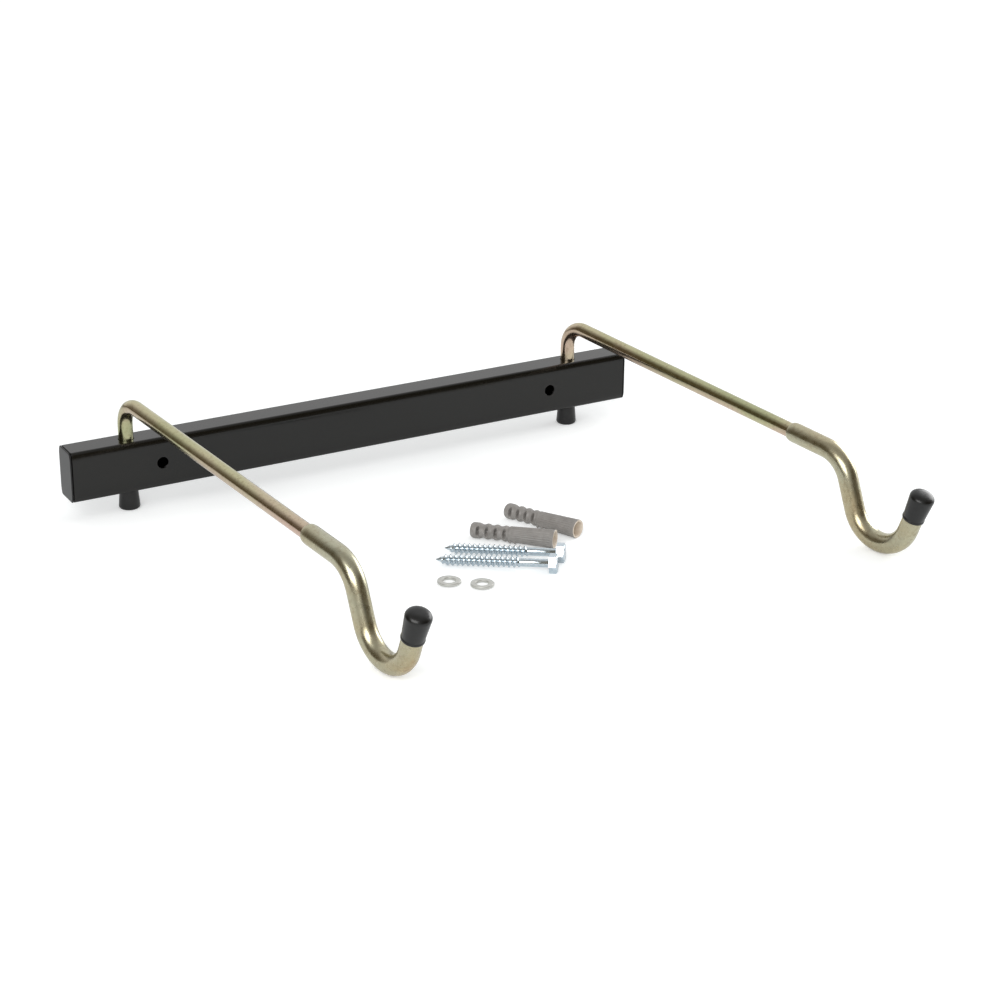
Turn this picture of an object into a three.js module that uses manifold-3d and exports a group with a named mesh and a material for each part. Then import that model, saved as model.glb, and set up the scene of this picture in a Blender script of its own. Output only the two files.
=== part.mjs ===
// Wall rack for two bikes: a rectangular tube on the wall and two swinging arms with hooks.
// Millimetres, +Z up. The origin is the centre of the bar's back face, which lies on the wall.
// +Y points into the wall, -Y to the bikes, +X along the bar. The parts stand as on a table.
import * as THREE from 'three';
import { mergeVertices } from 'three/addons/utils/BufferGeometryUtils.js';
import Module from 'manifold-3d';

const wasm = await Module();
wasm.setup();

// Clearances and the overrun of cuts
const SEAT_GAP = 0.25;        // between pieces that sit on or in one another
const SWING_GAP = 0.3;        // round a leg that turns in the bar
const OVERRUN = 2;            // how far a cutter passes the face it opens

// Wall bar: rectangular steel tube, standing on edge
const BAR_LENGTH = 485;
const BAR_HEIGHT = 40;
const BAR_DEPTH = 25;
const BAR_WALL = 1.5;
const BAR_CORNER = 3.5;
const ARM_INSET = 47.5;       // from each end of the bar to an arm's leg
const SCREW_OFFSET = 24;      // from a leg inwards to the screw hole beside it
const SCREW_HOLE = 9;         // hole diameter

// End caps of the bar
const CAP_FLANGE = 1.5;       // thickness of the plate that shows
const CAP_BEVEL = 0.8;        // rounding of the plate's outer rim
const CAP_SPIGOT = 14;        // how far the cap reaches into the tube
const CAP_WALL = 2;

// Arms: bent round rod, with a wider tube pushed over its end
const ROD_DIAMETER = 11.5;
const ARM_RISE = 31;          // the arm's line above the bar's top, at the leg
const LEG_BEND = 18;          // bend radius of the rod's axis
const ARM_DROOP_ANGLE = 4.5;  // degrees that the arm falls on its way out
const ARM_LENGTH = 255;       // along the arm's line, from the leg to the tube's edge
const ROD_INSERT = 30;        // length of rod inside the tube
const LEFT_SWING_ANGLE = 7.8; // degrees from square to the bar, as the arms stand here
const RIGHT_SWING_ANGLE = 10.9;

// Hook tube
const TUBE_DIAMETER = 15.2;
const TUBE_TAPER = 5;         // length of the swaged edge
const TUBE_EDGE = 0.55;       // metal left at the swaged edge
const SLEEVE_LENGTH = 35;     // straight part before the first bend
const DROP_BEND = 27.5;       // radius of the bend down
const DROP_ANGLE = 64.5;
const HOOK_BEND = 27.5;       // radius of the hook
const HOOK_ANGLE = 139;
const TIP_LENGTH = 11;        // straight from the hook to the cap's rim

// Cap on the hook's tip, flared, with a domed top
const TIP_CAP_RIM = 0.4;      // thickness at the rim
const TIP_CAP_FLARE = 18.6;   // widest diameter
const TIP_CAP_LENGTH = 23.6;
const TIP_CAP_DOME = 4.6;     // height of the dome
const TIP_CAP_DEPTH = 16;     // depth of the socket
const DOME_POWER = 0.7;       // below 1 the dome is fuller at its shoulder

// Foot cap on the leg's lower end, flared downwards
const FOOT_HEIGHT = 16.25;
const FOOT_RIM = 1.1;         // thickness at the rim
const FOOT_FLARE = 16.2;      // widest diameter
const FOOT_EDGE = 2;          // rounding of the lower edge
const FOOT_DEPTH = 12;        // depth of the socket

// Lag screws, 8 mm
const SCREW_LENGTH = 83.5;    // under the head
const THREAD_LENGTH = 62;
const THREAD_DIAMETER = 8.6;
const THREAD_CORE = 5.8;
const THREAD_PITCH = 3.75;
const THREAD_FLANK_SHARE = 0.3; // of the pitch, on either side of a crest
const POINT_PITCHES = 2;      // pitches from the point to the first full crest
const SHANK_DIAMETER = 6.2;
const HEAD_FLATS = 13;        // across the flats
const HEAD_HEIGHT = 6;
const HEAD_CHAMFER = 0.9;
const HEX_SIDES = 6;

// Split spring washers
const WASHER_OUTER = 17.2;
const WASHER_INNER = 9.8;
const WASHER_THICKNESS = 2;
const WASHER_SLIT_ANGLE = 14; // degrees
const WASHER_LIFT = 0.8;      // how far one end stands above the other

// Wall plugs, nylon
const PLUG_LENGTH = 65;
const PLUG_SLEEVE = 34.5;     // from the mouth to the first neck
const PLUG_NOSE = 3;          // from the last ring to the end
const PLUG_MOUTH_DIAMETER = 14.2;
const PLUG_SLEEVE_DIAMETER = 11.8; // of the sleeve, at its other end
const PLUG_RING_DIAMETER = 12;
const PLUG_NECK_DIAMETER = 10;
const PLUG_TIP_DIAMETER = 7.7;
const PLUG_RINGS = 4;
const PLUG_MOUTH_BORE = 11;
const PLUG_BORE = 9;          // where the bore's taper ends
const PLUG_BORE_DEPTH = 32;
const PLUG_PILOT = 3;         // the bore narrows to this towards the tip
const PLUG_WINDOW = 2.8;      // width of the windows in the sides of the rings
const PLUG_WINDOW_HEIGHT = 6;
const RING_SHARES = [0.3, 0.7]; // of the ring pitch: where the ring is widest
const WINDOW_SHARE = 0.5;     // of the ring pitch: where its window is

// Where the loose fixings lie: the start of each axis, and its direction in degrees
const FRONT_SCREW_X = -39;
const FRONT_SCREW_Y = -218.5;
const FRONT_SCREW_ANGLE = -37;
const REAR_SCREW_X = -23.6;
const REAR_SCREW_Y = -203.5;
const REAR_SCREW_ANGLE = -38;
const FRONT_PLUG_X = 52.7;
const FRONT_PLUG_Y = -234.3;
const FRONT_PLUG_ANGLE = 133.3;
const REAR_PLUG_X = 77.4;
const REAR_PLUG_Y = -226.1;
const REAR_PLUG_ANGLE = 115;
const LEFT_WASHER_X = -45.5;
const LEFT_WASHER_Y = -251.9;
const LEFT_WASHER_ANGLE = -35;
const RIGHT_WASHER_X = -26.8;
const RIGHT_WASHER_Y = -267.1;
const RIGHT_WASHER_ANGLE = -28;

// Facets of the round pieces
const ROD_SIDES = 16;
const TUBE_SIDES = 20;
const CAP_SIDES = 24;
const PLUG_SIDES = 20;
const THREAD_SIDES = 12;
const BEND_STEPS = 8;
const HOOK_STEPS = 14;
const EDGE_STEPS = 4;         // in a quarter of a rounded edge
const CORNER_STEPS = 2;       // in half of a rounded corner
const WASHER_STEPS = 12;      // in half of a washer
const MERGE_TOLERANCE = 1e-4;

const barTop = BAR_HEIGHT / 2;
const barBottom = -BAR_HEIGHT / 2;
const floorZ = barBottom - SEAT_GAP - FOOT_HEIGHT;
const radians = THREE.MathUtils.degToRad;
const quarterTurn = Math.PI / 2;
const legPlace = BAR_LENGTH / 2 - ARM_INSET;

// Materials, as they look
function finish(color, roughness, metalness) {
  return new THREE.MeshStandardMaterial({ color, roughness, metalness });
}
const blackPaint = () => finish(0x262625, 0.42, 0.1);
const blackPlastic = () => finish(0x2b2b2c, 0.55, 0);
const blackPvc = () => finish(0x303032, 0.6, 0);
const yellowZinc = () => finish(0xa29a7c, 0.3, 0.95);
const brightZinc = () => finish(0xb9c3ca, 0.25, 0.95);
const greyNylon = () => finish(0x9b9691, 0.55, 0);

// Solids: closed meshes whose shared corners are merged and whose empty triangles are dropped
function tidy(geometry) {
  const bare = new THREE.BufferGeometry();
  bare.setAttribute('position', geometry.getAttribute('position'));
  bare.setIndex(geometry.index);
  const merged = mergeVertices(bare, MERGE_TOLERANCE);
  const index = merged.index.array;
  const kept = [];
  for (let i = 0; i < index.length; i += 3) {
    const [a, b, c] = index.subarray(i, i + 3);
    if (a !== b && b !== c && c !== a) kept.push(a, b, c);
  }
  merged.setIndex(kept);
  merged.computeVertexNormals();
  return merged;
}

function solid(geometry) {
  const mesh = tidy(geometry);
  const vertProperties = new Float32Array(mesh.getAttribute('position').array);
  const triVerts = new Uint32Array(mesh.index.array);
  return new wasm.Manifold(new wasm.Mesh({ numProp: 3, vertProperties, triVerts }));
}

function fromSolid(manifold) {
  const mesh = manifold.getMesh();
  const geometry = new THREE.BufferGeometry();
  geometry.setAttribute('position', new THREE.BufferAttribute(mesh.vertProperties, 3));
  geometry.setIndex(new THREE.BufferAttribute(mesh.triVerts, 1));
  return tidy(geometry);
}

function cut(body, cutters) {
  const result = cutters.reduce((left, cutter) => left.subtract(solid(cutter)), solid(body));
  return fromSolid(result);
}

function join(pieces) {
  return fromSolid(pieces.map(solid).reduce((sum, piece) => sum.add(piece)));
}

// A turned piece about +Z: the outside of the profile runs upwards
function turned(profile, sides) {
  const points = profile.map(([radius, height]) => new THREE.Vector2(radius, height));
  return tidy(new THREE.LatheGeometry(points, sides).rotateX(quarterTurn));
}

// A round pin along +Z from one height to another
function pin(diameter, low, high, sides = ROD_SIDES) {
  const cylinder = new THREE.CylinderGeometry(diameter / 2, diameter / 2, high - low, sides);
  return cylinder.rotateX(quarterTurn).translate(0, 0, (low + high) / 2);
}

// A round outline with a corner on its first axis
function roundOutline(diameter, sides) {
  return Array.from({ length: sides }, (_, i) => {
    const angle = (2 * Math.PI * i) / sides;
    return new THREE.Vector2(Math.cos(angle), Math.sin(angle)).multiplyScalar(diameter / 2);
  });
}

// A rectangle with rounded corners, as points
function roundedRectangle(width, height, corner) {
  const x = width / 2 - corner;
  const y = height / 2 - corner;
  const shape = new THREE.Shape();
  shape.absarc(x, y, corner, 0, quarterTurn);
  shape.absarc(-x, y, corner, quarterTurn, 2 * quarterTurn);
  shape.absarc(-x, -y, corner, 2 * quarterTurn, 3 * quarterTurn);
  shape.absarc(x, -y, corner, 3 * quarterTurn, 4 * quarterTurn);
  return shape.extractPoints(CORNER_STEPS).shape;
}

// Turns a piece that was drawn upright and extruded up, so that it runs along the bar
function layAlongBar(geometry, from) {
  return geometry.rotateY(quarterTurn).rotateX(quarterTurn).translate(from, 0, 0);
}

// An upright outline drawn out along the bar from one place to another
function alongBar(outline, holes, from, to) {
  const shape = new THREE.Shape(outline);
  shape.holes = holes.map((hole) => new THREE.Path(hole));
  const geometry = new THREE.ExtrudeGeometry(shape, { depth: to - from, bevelEnabled: false });
  return layAlongBar(geometry, from);
}

// A bent path in the arm's own plane: straights and bends, with a station at each corner of it.
// It starts going the way that the heading says, in degrees below level, and a bend's angle
// is positive where the path turns down.
class BentPath extends THREE.Curve {
  constructor(reach, height, heading) {
    super();
    this.heading = radians(heading);
    this.stations = [];
    this.addStation(new THREE.Vector3(0, -reach, height));
  }

  addStation(point) {
    const tangent = new THREE.Vector3(0, -Math.cos(this.heading), -Math.sin(this.heading));
    this.stations.push({ point, tangent });
  }

  get end() {
    return this.stations.at(-1);
  }

  straight(length) {
    this.addStation(this.end.point.clone().addScaledVector(this.end.tangent, length));
    return this;
  }

  bend(radius, angle, steps) {
    const side = Math.sign(angle);
    const { point, tangent } = this.end;
    const inward = new THREE.Vector3(0, -tangent.z, tangent.y).multiplyScalar(side);
    const centre = point.clone().addScaledVector(inward, radius);
    for (let i = 1; i <= steps; i += 1) {
      this.heading += radians(angle / steps);
      const out = new THREE.Vector3(0, Math.sin(this.heading), -Math.cos(this.heading));
      this.addStation(centre.clone().addScaledVector(out, -radius * side));
    }
    return this;
  }

  // The value that a station holds, between the two stations on either side of u
  between(u, key) {
    const last = this.stations.length - 1;
    const nearest = Math.round(u * last);
    const place = Math.abs(u * last - nearest) < MERGE_TOLERANCE ? nearest : u * last;
    const index = Math.min(Math.floor(place), last - 1);
    const value = this.stations[index][key].clone();
    return value.lerp(this.stations[index + 1][key], place - index);
  }

  getPoint(u) {
    return this.between(u, 'point');
  }

  getPointAt(u) {
    return this.getPoint(u);
  }

  getTangentAt(u) {
    return this.between(u, 'tangent').normalize();
  }
}

// A tube or rod of one outline along a bent path
function alongPath(path, outline, holes = []) {
  const shape = new THREE.Shape(outline);
  shape.holes = holes.map((hole) => new THREE.Path(hole));
  const steps = path.stations.length - 1;
  return tidy(new THREE.ExtrudeGeometry(shape, { steps, extrudePath: path, bevelEnabled: false }));
}

// Lays a turned piece's +Z on a station of a path
function placeOn(geometry, { point, tangent }) {
  const turn = new THREE.Quaternion().setFromUnitVectors(new THREE.Vector3(0, 0, 1), tangent);
  return geometry.applyQuaternion(turn).translate(point.x, point.y, point.z);
}

// Wall bar about its own axis, bored for the two screws and for the legs of the arms
function wallBar() {
  const outside = roundedRectangle(BAR_DEPTH, BAR_HEIGHT, BAR_CORNER);
  const inside = roundedRectangle(
    BAR_DEPTH - 2 * BAR_WALL,
    BAR_HEIGHT - 2 * BAR_WALL,
    BAR_CORNER - BAR_WALL,
  );
  const tube = alongBar(outside, [inside], -BAR_LENGTH / 2, BAR_LENGTH / 2);
  const through = BAR_DEPTH / 2 + OVERRUN;
  const legHole = ROD_DIAMETER + 2 * SWING_GAP;
  const cutters = [];
  for (const side of [-1, 1]) {
    const screw = pin(SCREW_HOLE, -through, through).rotateX(quarterTurn);
    cutters.push(screw.translate(side * (legPlace - SCREW_OFFSET), 0, 0));
    const leg = pin(legHole, barBottom - OVERRUN, barTop + OVERRUN);
    cutters.push(leg.translate(side * legPlace, 0, 0));
  }
  return cut(tube, cutters);
}

// End cap: a plate with a rounded rim on a hollow spigot, for the bar's +X end
function endCap() {
  const seat = BAR_LENGTH / 2 + SEAT_GAP;
  const outline = (inset, corner) =>
    roundedRectangle(BAR_DEPTH - 2 * inset, BAR_HEIGHT - 2 * inset, corner);
  const face = new THREE.Shape(outline(CAP_BEVEL, BAR_CORNER - CAP_BEVEL));
  const plate = new THREE.ExtrudeGeometry(face, {
    depth: CAP_FLANGE - CAP_BEVEL,
    bevelEnabled: true,
    bevelThickness: CAP_BEVEL,
    bevelSize: CAP_BEVEL,
    bevelSegments: CORNER_STEPS,
  });
  layAlongBar(plate, seat);
  const behind = alongBar(outline(-OVERRUN, BAR_CORNER), [], seat - OVERRUN, seat);
  const spigotInset = BAR_WALL + SEAT_GAP;
  const spigotCorner = BAR_CORNER - BAR_WALL;
  const spigot = alongBar(
    outline(spigotInset, spigotCorner),
    [outline(spigotInset + CAP_WALL, spigotCorner)],
    seat - CAP_SPIGOT,
    seat + CAP_FLANGE - CAP_BEVEL,
  );
  return join([cut(plate, [behind]), spigot]);
}

// Where the arm's straight line meets the hook tube's edge
function tubeStart() {
  const droop = radians(ARM_DROOP_ANGLE);
  const reach = ARM_LENGTH * Math.cos(droop);
  const height = barTop + ARM_RISE - ARM_LENGTH * Math.sin(droop);
  return { reach, height };
}

// Rod: up through the bar, over the bend and out to its end in the tube
function armRod() {
  const turn = 90 + ARM_DROOP_ANGLE;
  const tangentLength = LEG_BEND * Math.tan(radians(turn / 2));
  const low = floorZ + FOOT_HEIGHT - FOOT_DEPTH + SEAT_GAP;
  const path = new BentPath(0, low, -90);
  path.straight(barTop + ARM_RISE - tangentLength - low);
  path.bend(LEG_BEND, turn, BEND_STEPS);
  path.straight(ARM_LENGTH - tangentLength + ROD_INSERT);
  return alongPath(path, roundOutline(ROD_DIAMETER, ROD_SIDES));
}

// The hook's lowest point is level with the feet, so the drop's straight part follows from that
function dropStraight() {
  const start = tubeStart();
  const droop = radians(ARM_DROOP_ANGLE);
  const steep = radians(ARM_DROOP_ANGLE + DROP_ANGLE);
  const sleeveFall = SLEEVE_LENGTH * Math.sin(droop);
  const bendFall = DROP_BEND * (Math.cos(droop) - Math.cos(steep));
  const hookFall = HOOK_BEND * (1 - Math.cos(steep));
  const total = start.height - floorZ - TUBE_DIAMETER / 2;
  return (total - sleeveFall - bendFall - hookFall) / Math.sin(steep);
}

// The hook tube's axis, from its swaged edge to the rim of the tip's cap
function hookPath() {
  const start = tubeStart();
  const path = new BentPath(start.reach, start.height, ARM_DROOP_ANGLE);
  path.straight(SLEEVE_LENGTH);
  path.bend(DROP_BEND, DROP_ANGLE, BEND_STEPS);
  path.straight(dropStraight());
  path.bend(HOOK_BEND, -HOOK_ANGLE, HOOK_STEPS);
  return path.straight(TIP_LENGTH);
}

// Hook tube: swaged down to the rod at its start, bent down and up again, open at both ends
function hookTube() {
  const path = hookPath().straight(TIP_CAP_DEPTH - SEAT_GAP);
  const bore = ROD_DIAMETER + 2 * SEAT_GAP;
  const outline = roundOutline(TUBE_DIAMETER, TUBE_SIDES);
  const tube = alongPath(path, outline, [roundOutline(bore, ROD_SIDES)]);
  const edge = bore / 2 + TUBE_EDGE;
  const bulge = TUBE_DIAMETER / 2 - edge;
  const clear = TUBE_DIAMETER / 2 + OVERRUN;
  const taper = [[edge, -OVERRUN], [clear, -OVERRUN], [clear, TUBE_TAPER]];
  for (let i = 0; i <= EDGE_STEPS; i += 1) {
    const angle = (quarterTurn * i) / EDGE_STEPS;
    taper.push([edge + bulge * Math.cos(angle), TUBE_TAPER * (1 - Math.sin(angle))]);
  }
  taper.push([edge, -OVERRUN]);
  return cut(tube, [placeOn(turned(taper, TUBE_SIDES), path.stations[0])]);
}

// Cap on the hook's tip: thin at the rim, flared to its shoulder, domed on top
function tipCap() {
  const bore = TUBE_DIAMETER / 2 + SEAT_GAP;
  const shoulder = TIP_CAP_LENGTH - TIP_CAP_DOME;
  const flare = TIP_CAP_FLARE / 2;
  const profile = [[0, TIP_CAP_DEPTH], [bore, TIP_CAP_DEPTH], [bore, 0], [bore + TIP_CAP_RIM, 0]];
  for (let i = 0; i < EDGE_STEPS; i += 1) {
    const angle = (quarterTurn * i) / EDGE_STEPS;
    const radius = flare * Math.cos(angle) ** DOME_POWER;
    profile.push([radius, shoulder + TIP_CAP_DOME * Math.sin(angle)]);
  }
  profile.push([0, TIP_CAP_LENGTH]);
  return placeOn(turned(profile, CAP_SIDES), hookPath().end);
}

// Foot cap on the leg, flared down to a rounded lower edge; the bar stands on its rim
function footCap() {
  const bore = ROD_DIAMETER / 2 + SEAT_GAP;
  const flat = FOOT_FLARE / 2 - FOOT_EDGE;
  const profile = [[0, 0]];
  for (let i = 0; i <= EDGE_STEPS; i += 1) {
    const angle = (quarterTurn * i) / EDGE_STEPS;
    profile.push([flat + FOOT_EDGE * Math.sin(angle), FOOT_EDGE * (1 - Math.cos(angle))]);
  }
  profile.push([bore + FOOT_RIM, FOOT_HEIGHT], [bore, FOOT_HEIGHT]);
  profile.push([bore, FOOT_HEIGHT - FOOT_DEPTH], [0, FOOT_HEIGHT - FOOT_DEPTH]);
  return turned(profile, CAP_SIDES).translate(0, 0, floorZ);
}

// Lag screw along +Z from its point: thread rings on a core, plain shank, hexagonal head
function lagScrew() {
  const core = THREAD_CORE / 2;
  const crest = THREAD_DIAMETER / 2;
  const shank = SHANK_DIAMETER / 2;
  const flank = THREAD_PITCH * THREAD_FLANK_SHARE;
  const top = SCREW_LENGTH + HEAD_HEIGHT;
  const insideHead = SCREW_LENGTH + HEAD_HEIGHT / 2;
  const profile = [[0, 0]];
  for (let z = POINT_PITCHES * THREAD_PITCH; z < THREAD_LENGTH; z += THREAD_PITCH) {
    profile.push([core, z - flank], [crest, z], [core, z + flank]);
  }
  profile.push([shank, THREAD_LENGTH + THREAD_PITCH], [shank, insideHead], [0, insideHead]);
  const corner = HEAD_FLATS / 2 / Math.cos(Math.PI / HEX_SIDES);
  const head = pin(2 * corner, SCREW_LENGTH, top, HEX_SIDES);
  const outside = corner + HEAD_CHAMFER;
  const chamfer = turned([
    [HEAD_FLATS / 2, top],
    [outside, top - HEAD_CHAMFER],
    [outside, top + HEAD_CHAMFER],
    [HEAD_FLATS / 2, top + HEAD_CHAMFER],
    [HEAD_FLATS / 2, top],
  ], CAP_SIDES);
  return join([turned(profile, THREAD_SIDES), cut(head, [chamfer])]);
}

// Split washer: a flat ring with a slit, whose one end stands a little above the other
function splitWasher() {
  const start = radians(WASHER_SLIT_ANGLE / 2);
  const end = 2 * Math.PI - start;
  const shape = new THREE.Shape();
  shape.absarc(0, 0, WASHER_OUTER / 2, start, end);
  shape.absarc(0, 0, WASHER_INNER / 2, end, start, true);
  const options = { depth: WASHER_THICKNESS, curveSegments: WASHER_STEPS, bevelEnabled: false };
  const ring = new THREE.ExtrudeGeometry(shape, options);
  const corners = ring.getAttribute('position');
  for (let i = 0; i < corners.count; i += 1) {
    const angle = Math.atan2(-corners.getY(i), -corners.getX(i)) + Math.PI;
    corners.setZ(i, corners.getZ(i) + (WASHER_LIFT * angle) / (2 * Math.PI));
  }
  return tidy(ring);
}

// Wall plug along +Z from its wide mouth: a tapered sleeve, then rings with a window in each side
function wallPlug() {
  const mouth = PLUG_MOUTH_DIAMETER / 2;
  const sleeve = PLUG_SLEEVE_DIAMETER / 2;
  const ring = PLUG_RING_DIAMETER / 2;
  const bore = PLUG_BORE / 2;
  const mouthBore = PLUG_MOUTH_BORE / 2;
  const pilot = PLUG_PILOT / 2;
  const pitch = (PLUG_LENGTH - PLUG_SLEEVE - PLUG_NOSE) / PLUG_RINGS;
  const starts = Array.from({ length: PLUG_RINGS }, (_, i) => PLUG_SLEEVE + i * pitch);
  const neckTaper = sleeve - PLUG_NECK_DIAMETER / 2;
  const profile = [[mouthBore, 0], [mouth, 0], [sleeve, PLUG_SLEEVE - neckTaper]];
  for (const start of starts) {
    profile.push([PLUG_NECK_DIAMETER / 2, start]);
    profile.push(...RING_SHARES.map((share) => [ring, start + pitch * share]));
  }
  profile.push([ring, PLUG_LENGTH - PLUG_NOSE]);
  profile.push([PLUG_TIP_DIAMETER / 2, PLUG_LENGTH], [pilot, PLUG_LENGTH]);
  profile.push([pilot, PLUG_BORE_DEPTH + bore - pilot], [bore, PLUG_BORE_DEPTH], [mouthBore, 0]);
  const windows = [];
  const depth = ring - pilot;
  for (const start of starts) {
    for (const side of [-1, 1]) {
      const box = new THREE.BoxGeometry(PLUG_WINDOW_HEIGHT, depth, PLUG_WINDOW);
      const inside = pilot + SEAT_GAP + depth / 2;
      windows.push(box.translate(0, side * inside, start + pitch * WINDOW_SHARE));
    }
  }
  return cut(turned(profile, PLUG_SIDES), windows);
}

function addMesh(parent, name, geometry, material) {
  const mesh = new THREE.Mesh(geometry, material);
  mesh.name = name;
  parent.add(mesh);
  return mesh;
}

// Lays a piece made along +Z on its side, its start at a place on the table, rising by a tilt
function layDown(mesh, x, y, lift, turn, tilt = 0) {
  mesh.position.set(x, y, floorZ + lift);
  mesh.rotation.set(0, quarterTurn - tilt, radians(turn), 'ZYX');
}

// Assembly: everything that is held by the bar hangs on its axis
const rack = new THREE.Group();
const barAxis = new THREE.Group();
barAxis.position.y = -BAR_DEPTH / 2;
rack.add(barAxis);

addMesh(barAxis, 'wall_bar', wallBar(), blackPaint());
addMesh(barAxis, 'end_cap_right', endCap(), blackPlastic());
addMesh(barAxis, 'end_cap_left', endCap(), blackPlastic()).rotation.z = Math.PI;

for (const [name, side, swing] of [['left', -1, LEFT_SWING_ANGLE], ['right', 1, RIGHT_SWING_ANGLE]]) {
  const arm = new THREE.Group();
  arm.position.x = side * legPlace;
  arm.rotation.z = radians(swing);
  addMesh(arm, `arm_rod_${name}`, armRod(), yellowZinc());
  addMesh(arm, `hook_tube_${name}`, hookTube(), yellowZinc());
  addMesh(arm, `hook_cap_${name}`, tipCap(), blackPvc());
  addMesh(arm, `foot_cap_${name}`, footCap(), blackPvc());
  barAxis.add(arm);
}

// A screw lies on a flat of its head and on its thread, so it falls towards the point
const headEdge = HEAD_FLATS / 2;
const headRise = headEdge - THREAD_DIAMETER / 2;
const screwTilt = Math.atan(headRise / (SCREW_LENGTH - POINT_PITCHES * THREAD_PITCH));
const screwLift = headEdge * Math.cos(screwTilt) - SCREW_LENGTH * Math.sin(screwTilt);
for (const [name, x, y, turn] of [
  ['lag_screw_front', FRONT_SCREW_X, FRONT_SCREW_Y, FRONT_SCREW_ANGLE],
  ['lag_screw_rear', REAR_SCREW_X, REAR_SCREW_Y, REAR_SCREW_ANGLE],
]) {
  const screw = addMesh(rack, name, lagScrew(), brightZinc());
  layDown(screw, x, y, screwLift, turn, screwTilt);
}

// A plug lies on the rim of its mouth and on its last ring, so it falls towards the tip
const mouthLift = (PLUG_MOUTH_DIAMETER - PLUG_RING_DIAMETER) / 2;
const plugTilt = -Math.atan(mouthLift / (PLUG_LENGTH - PLUG_NOSE));
const plugLift = PLUG_MOUTH_DIAMETER / 2 * Math.cos(plugTilt);
for (const [name, x, y, turn] of [
  ['wall_plug_front', FRONT_PLUG_X, FRONT_PLUG_Y, FRONT_PLUG_ANGLE],
  ['wall_plug_rear', REAR_PLUG_X, REAR_PLUG_Y, REAR_PLUG_ANGLE],
]) {
  const plug = addMesh(rack, name, wallPlug(), greyNylon());
  layDown(plug, x, y, plugLift, turn, plugTilt);
}

for (const [name, x, y, turn] of [
  ['washer_left', LEFT_WASHER_X, LEFT_WASHER_Y, LEFT_WASHER_ANGLE],
  ['washer_right', RIGHT_WASHER_X, RIGHT_WASHER_Y, RIGHT_WASHER_ANGLE],
]) {
  const washer = addMesh(rack, name, splitWasher(), brightZinc());
  washer.position.set(x, y, floorZ);
  washer.rotation.z = radians(turn);
}

export default rack;
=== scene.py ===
import math

import bmesh
import bpy
from mathutils import Matrix, Vector

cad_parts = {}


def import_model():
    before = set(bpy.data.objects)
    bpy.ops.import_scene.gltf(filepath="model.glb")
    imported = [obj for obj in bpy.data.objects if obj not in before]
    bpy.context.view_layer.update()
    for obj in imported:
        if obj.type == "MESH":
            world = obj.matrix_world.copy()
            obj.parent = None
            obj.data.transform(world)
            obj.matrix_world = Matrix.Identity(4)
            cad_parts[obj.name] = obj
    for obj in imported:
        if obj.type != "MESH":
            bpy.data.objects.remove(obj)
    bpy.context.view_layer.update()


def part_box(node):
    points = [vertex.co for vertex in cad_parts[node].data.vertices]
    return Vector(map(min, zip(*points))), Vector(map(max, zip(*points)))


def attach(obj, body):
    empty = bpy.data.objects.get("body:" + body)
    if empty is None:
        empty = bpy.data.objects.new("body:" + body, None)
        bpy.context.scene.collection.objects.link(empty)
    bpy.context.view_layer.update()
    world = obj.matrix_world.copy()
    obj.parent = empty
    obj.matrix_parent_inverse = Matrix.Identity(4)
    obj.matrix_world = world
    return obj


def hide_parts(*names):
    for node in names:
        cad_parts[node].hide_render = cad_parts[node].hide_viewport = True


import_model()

MM = 0.001
MERGE_DISTANCE = 0.001   # millimetres between points that are taken as one
BROAD_FACE = 300         # square millimetres above which a face is shaded flat
CREASE = math.radians(40)  # edges sharper than this stay sharp

# Sizes that the frame gives, in millimetres
BAR_LOW, BAR_HIGH = (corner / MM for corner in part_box("wall_bar"))
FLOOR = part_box("foot_cap_left")[0].z / MM
LEG_PLACES = {
    side: (sum(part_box(f"foot_cap_{side}"), Vector()) / 2 / MM).to_2d() for side in ("left", "right")
}

# Wall bar and its end caps
BAR_CORNER = 2.4
BAR_SHOULDER = 15        # radius of the gentle roll of the tall faces towards their corners
BAR_LEAN = math.radians(22)  # how far a tall face leans over where its corner starts
BAR_STEPS = 6            # in each arc of a corner
BAR_WALL = 1.5
SEAT_GAP = 0.25
SCREW_OFFSET = 24        # from a leg inwards to the screw hole beside it
SCREW_HOLE = 9
LEG_HOLE = 12.1
HOLE_SIDES = 64
HOLE_EDGE = 0.3          # rounding that the coat leaves round a hole
HOLE_EDGE_STEPS = 3
HOLE_EDGE_ANGLE = math.radians(60)  # edges sharper than this are rounded
BAR_CREASE = math.radians(50)
CAP_FLANGE = 1.5         # thickness of the plate that shows
CAP_ROUNDING = 0.8
CAP_BACK_EDGE = 0.3
CAP_SEAM = 0.35          # dark line that the cap leaves at the bar's end
CAP_SPIGOT = 14
CAP_WALL = 2
CAP_STEPS = 6            # in the arc of the plate's rim
LEAST_CORNER = 0.3
FLAT_EDGE = 0.15         # narrow strip beside an arc, so that a flat face is shaded flat

# Arms
SWING = {"left": math.radians(7.8), "right": math.radians(10.9)}
ROD_DIAMETER = 11.5
ARM_RISE = 31            # the arm's line above the bar's top, at the leg
LEG_BEND = 18
ARM_DROOP = math.radians(4.5)
ARM_LENGTH = 255         # along the arm's line, from the leg to the tube's edge
ROD_INSERT = 30
TUBE_DIAMETER = 15.2
TUBE_TAPER = 5
TUBE_EDGE = 0.55
TAPER_STEPS = 14
SLEEVE_LENGTH = 35
DROP_BEND = 27.5
DROP_ANGLE = math.radians(64.5)
HOOK_BEND = 27.5
HOOK_ANGLE = math.radians(139)
TIP_LENGTH = 11
ROUND_SIDES = 48
STRAIGHT_STEP = 8        # between rings on a straight stretch
BEND_STEP = math.radians(4)

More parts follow.
